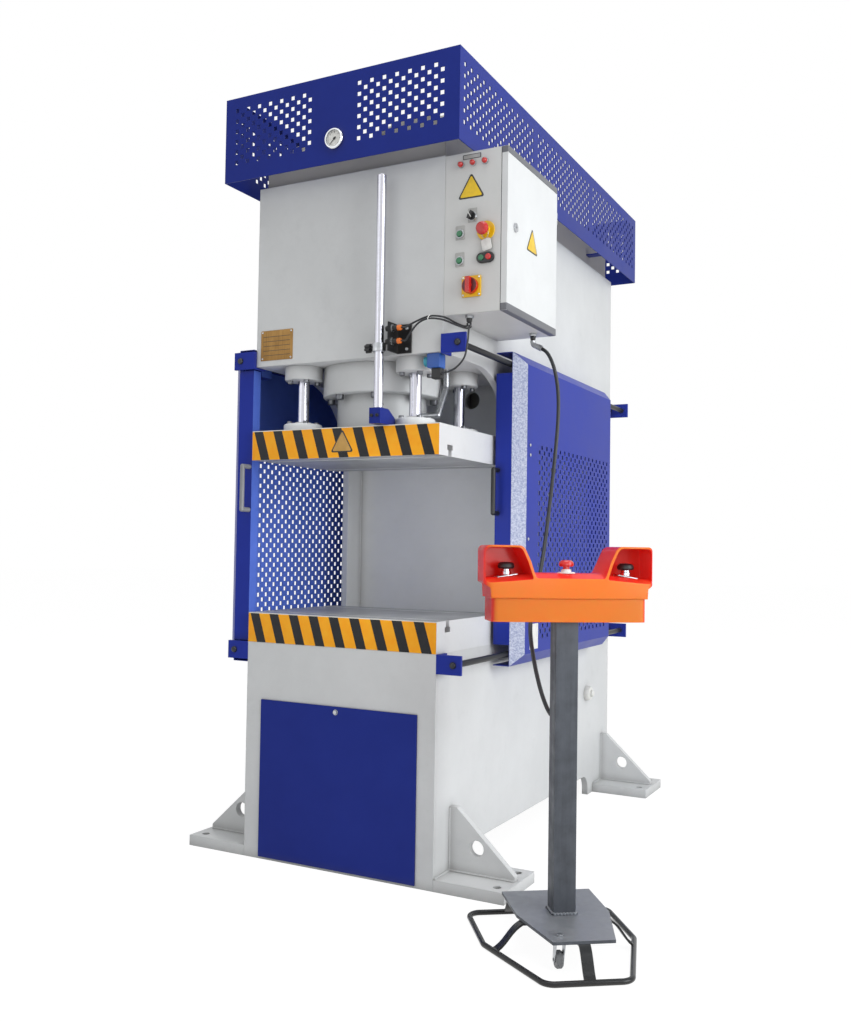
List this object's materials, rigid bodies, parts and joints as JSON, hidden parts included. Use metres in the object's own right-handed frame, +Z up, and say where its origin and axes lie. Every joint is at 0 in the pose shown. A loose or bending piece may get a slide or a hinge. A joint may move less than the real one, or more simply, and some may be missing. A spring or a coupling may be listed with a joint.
{
  "type": "c-frame hydraulic press",
  "caption": "Floor-standing C-frame hydraulic press with sliding perforated guards, a perforated hood, a side control cabinet and a wired two-hand control stand.",
  "frame": {"origin": "on the floor, at the middle of the rectangle of anchor holes", "axes": "+Z up, -Y to the operator at the front, +X to the operator's right, where the cabinet is"},
  "size_m": [1.6899, 2.2533, 2.577],
  "materials": {
    "frame_paint": "satin, light warm grey",
    "platen_paint": "satin, white",
    "blue_paint": "semi-gloss, royal blue",
    "tank_paint": "semi-gloss, grey",
    "ground_steel": "ground and hard-chromed",
    "dark_steel": "blackened",
    "zinc_steel": "zinc-plated",
    "black_plastic": "fine matt",
    "orange_plastic": "gloss, moulded",
    "red_plastic": "gloss",
    "green_plastic": "gloss",
    "blue_plastic": "satin",
    "cable_rubber": "satin",
    "wheel_plastic": "satin"
  },
  "bodies": {
    "frame": {"left_side_plate": "frame_paint", "right_side_plate": "frame_paint", "head_front_plate": "frame_paint", "head_bottom_plate": "frame_paint", "throat_back_plate": "tank_paint", "rear_plate": "frame_paint", "base_front_plate": "frame_paint", "access_panel": "blue_paint", "anchor_feet": "frame_paint", "lower_platen": "platen_paint", "cylinder_body": "frame_paint", "guide_bushes": "frame_paint", "sensor_bracket": "black_plastic", "end_sensors": "orange_plastic", "pressure_switch": "blue_plastic", "hydraulic_pipe": "zinc_steel", "hood_side_panels": "blue_paint", "hood_end_panels": "blue_paint", "pressure_gauge": "zinc_steel", "oil_tank": "tank_paint", "pump_motor": "tank_paint", "guard_rods": "ground_steel", "guard_brackets": "blue_paint", "cabinet_box": "frame_paint", "mounting_plate": "zinc_steel", "panel_fittings": "black_plastic", "console_cable": "cable_rubber", "upper_sensor_cable": "cable_rubber", "lower_sensor_cable": "cable_rubber", "switch_cable": "cable_rubber", "stand_post": "dark_steel", "stand_ring": "dark_steel", "console_base": "orange_plastic", "console_cover": "orange_plastic"},
    "ram": {"upper_platen": "platen_paint", "piston_rod": "ground_steel", "guide_columns": "ground_steel", "position_rod": "ground_steel", "rod_clamp": "blue_paint"},
    "trip_collar": {"trip_collar": "zinc_steel"},
    "collar_knob": {"collar_knob": "black_plastic"},
    "left_guard": {"left_guard": "blue_paint", "left_guard_handle": "black_plastic"},
    "right_guard": {"right_guard": "blue_paint", "right_guard_handle": "black_plastic"},
    "cabinet_door": {"cabinet_door": "platen_paint"},
    "door_lock": {"door_lock": "zinc_steel"},
    "selector_knob": {"selector_knob": "black_plastic"},
    "start_button": {"start_button": "green_plastic"},
    "reset_button": {"reset_button": "green_plastic"},
    "estop_button": {"estop_button": "red_plastic"},
    "on_button": {"on_button": "green_plastic"},
    "off_button": {"off_button": "red_plastic"},
    "main_switch_handle": {"main_switch_handle": "red_plastic"},
    "left_palm_button": {"left_palm_button": "black_plastic"},
    "right_palm_button": {"right_palm_button": "black_plastic"},
    "console_estop": {"console_estop": "red_plastic"},
    "caster_fork": {"caster_fork": "zinc_steel"},
    "caster_wheel": {"caster_wheel": "wheel_plastic"},
    "gauge_needle": {"gauge_needle": "dark_steel"}
  },
  "joints": [
    {"name": "ram_stroke", "type": "slide", "parent": "frame", "child": "ram", "axis": [0, 0, -1], "range_m": [0, 0.4]},
    {"name": "collar_slide", "type": "slide", "parent": "ram", "child": "trip_collar", "axis": [0, 0, 1], "range_m": [-0.15, 0.5]},
    {"name": "collar_knob_turn", "type": "hinge", "parent": "trip_collar", "child": "collar_knob", "pos_m": [0.156, -0.9, 1.68], "axis": [-1, 0, 0], "range_deg": [0, 360]},
    {"name": "left_guard_slide", "type": "slide", "parent": "frame", "child": "left_guard", "axis": [0, 1, 0], "range_m": [0, 0.66]},
    {"name": "right_guard_slide", "type": "slide", "parent": "frame", "child": "right_guard", "axis": [0, 1, 0], "range_m": [-0.385, 0.28]},
    {"name": "door_swing", "type": "hinge", "parent": "frame", "child": "cabinet_door", "pos_m": [0.564, -0.427, 2.023], "axis": [0, 0, 1], "range_deg": [0, 110]},
    {"name": "lock_turn", "type": "hinge", "parent": "cabinet_door", "child": "door_lock", "pos_m": [0.554, -0.794, 2.0385], "axis": [1, 0, 0], "range_deg": [0, 90]},
    {"name": "selector_turn", "type": "hinge", "parent": "frame", "child": "selector_knob", "pos_m": [0.457, -0.856, 2.072], "axis": [0, -1, 0], "range_deg": [-45, 45]},
    {"name": "start_press", "type": "slide", "parent": "frame", "child": "start_button", "axis": [0, 1, 0], "range_m": [0, 0.004], "stiffness_N_per_m": 1500, "springref_m": -0.002},
    {"name": "reset_press", "type": "slide", "parent": "frame", "child": "reset_button", "axis": [0, 1, 0], "range_m": [0, 0.004], "stiffness_N_per_m": 1500, "springref_m": -0.002},
    {"name": "estop_press", "type": "slide", "parent": "frame", "child": "estop_button", "axis": [0, 1, 0], "range_m": [0, 0.006], "stiffness_N_per_m": 1500, "springref_m": -0.002},
    {"name": "on_press", "type": "slide", "parent": "frame", "child": "on_button", "axis": [0, 1, 0], "range_m": [0, 0.003], "stiffness_N_per_m": 1500, "springref_m": -0.002},
    {"name": "off_press", "type": "slide", "parent": "frame", "child": "off_button", "axis": [0, 1, 0], "range_m": [0, 0.003], "stiffness_N_per_m": 1500, "springref_m": -0.002},
    {"name": "main_switch_turn", "type": "hinge", "parent": "frame", "child": "main_switch_handle", "pos_m": [0.457, -0.856, 1.854], "axis": [0, -1, 0], "range_deg": [0, 90]},
    {"name": "left_palm_press", "type": "slide", "parent": "frame", "child": "left_palm_button", "axis": [0, 0, -1], "range_m": [0, 0.006], "stiffness_N_per_m": 1500, "springref_m": -0.002},
    {"name": "right_palm_press", "type": "slide", "parent": "frame", "child": "right_palm_button", "axis": [0, 0, -1], "range_m": [0, 0.006], "stiffness_N_per_m": 1500, "springref_m": -0.002},
    {"name": "console_estop_press", "type": "slide", "parent": "frame", "child": "console_estop", "axis": [0, 0, -1], "range_m": [0, 0.006], "stiffness_N_per_m": 1500, "springref_m": -0.002},
    {"name": "caster_swivel", "type": "hinge", "parent": "frame", "child": "caster_fork", "pos_m": [0.90403, -1.23072, 0.07], "axis": [0, 0, 1], "continuous": true},
    {"name": "caster_roll", "type": "hinge", "parent": "caster_fork", "child": "caster_wheel", "pos_m": [0.89698, -1.22101, 0.026], "axis": [0.809, 0.5878, 0], "continuous": true},
    {"name": "needle_turn", "type": "hinge", "parent": "frame", "child": "gauge_needle", "pos_m": [0, -0.94, 2.364], "axis": [0, 1, 0], "range_deg": [0, 270]}
  ]
}
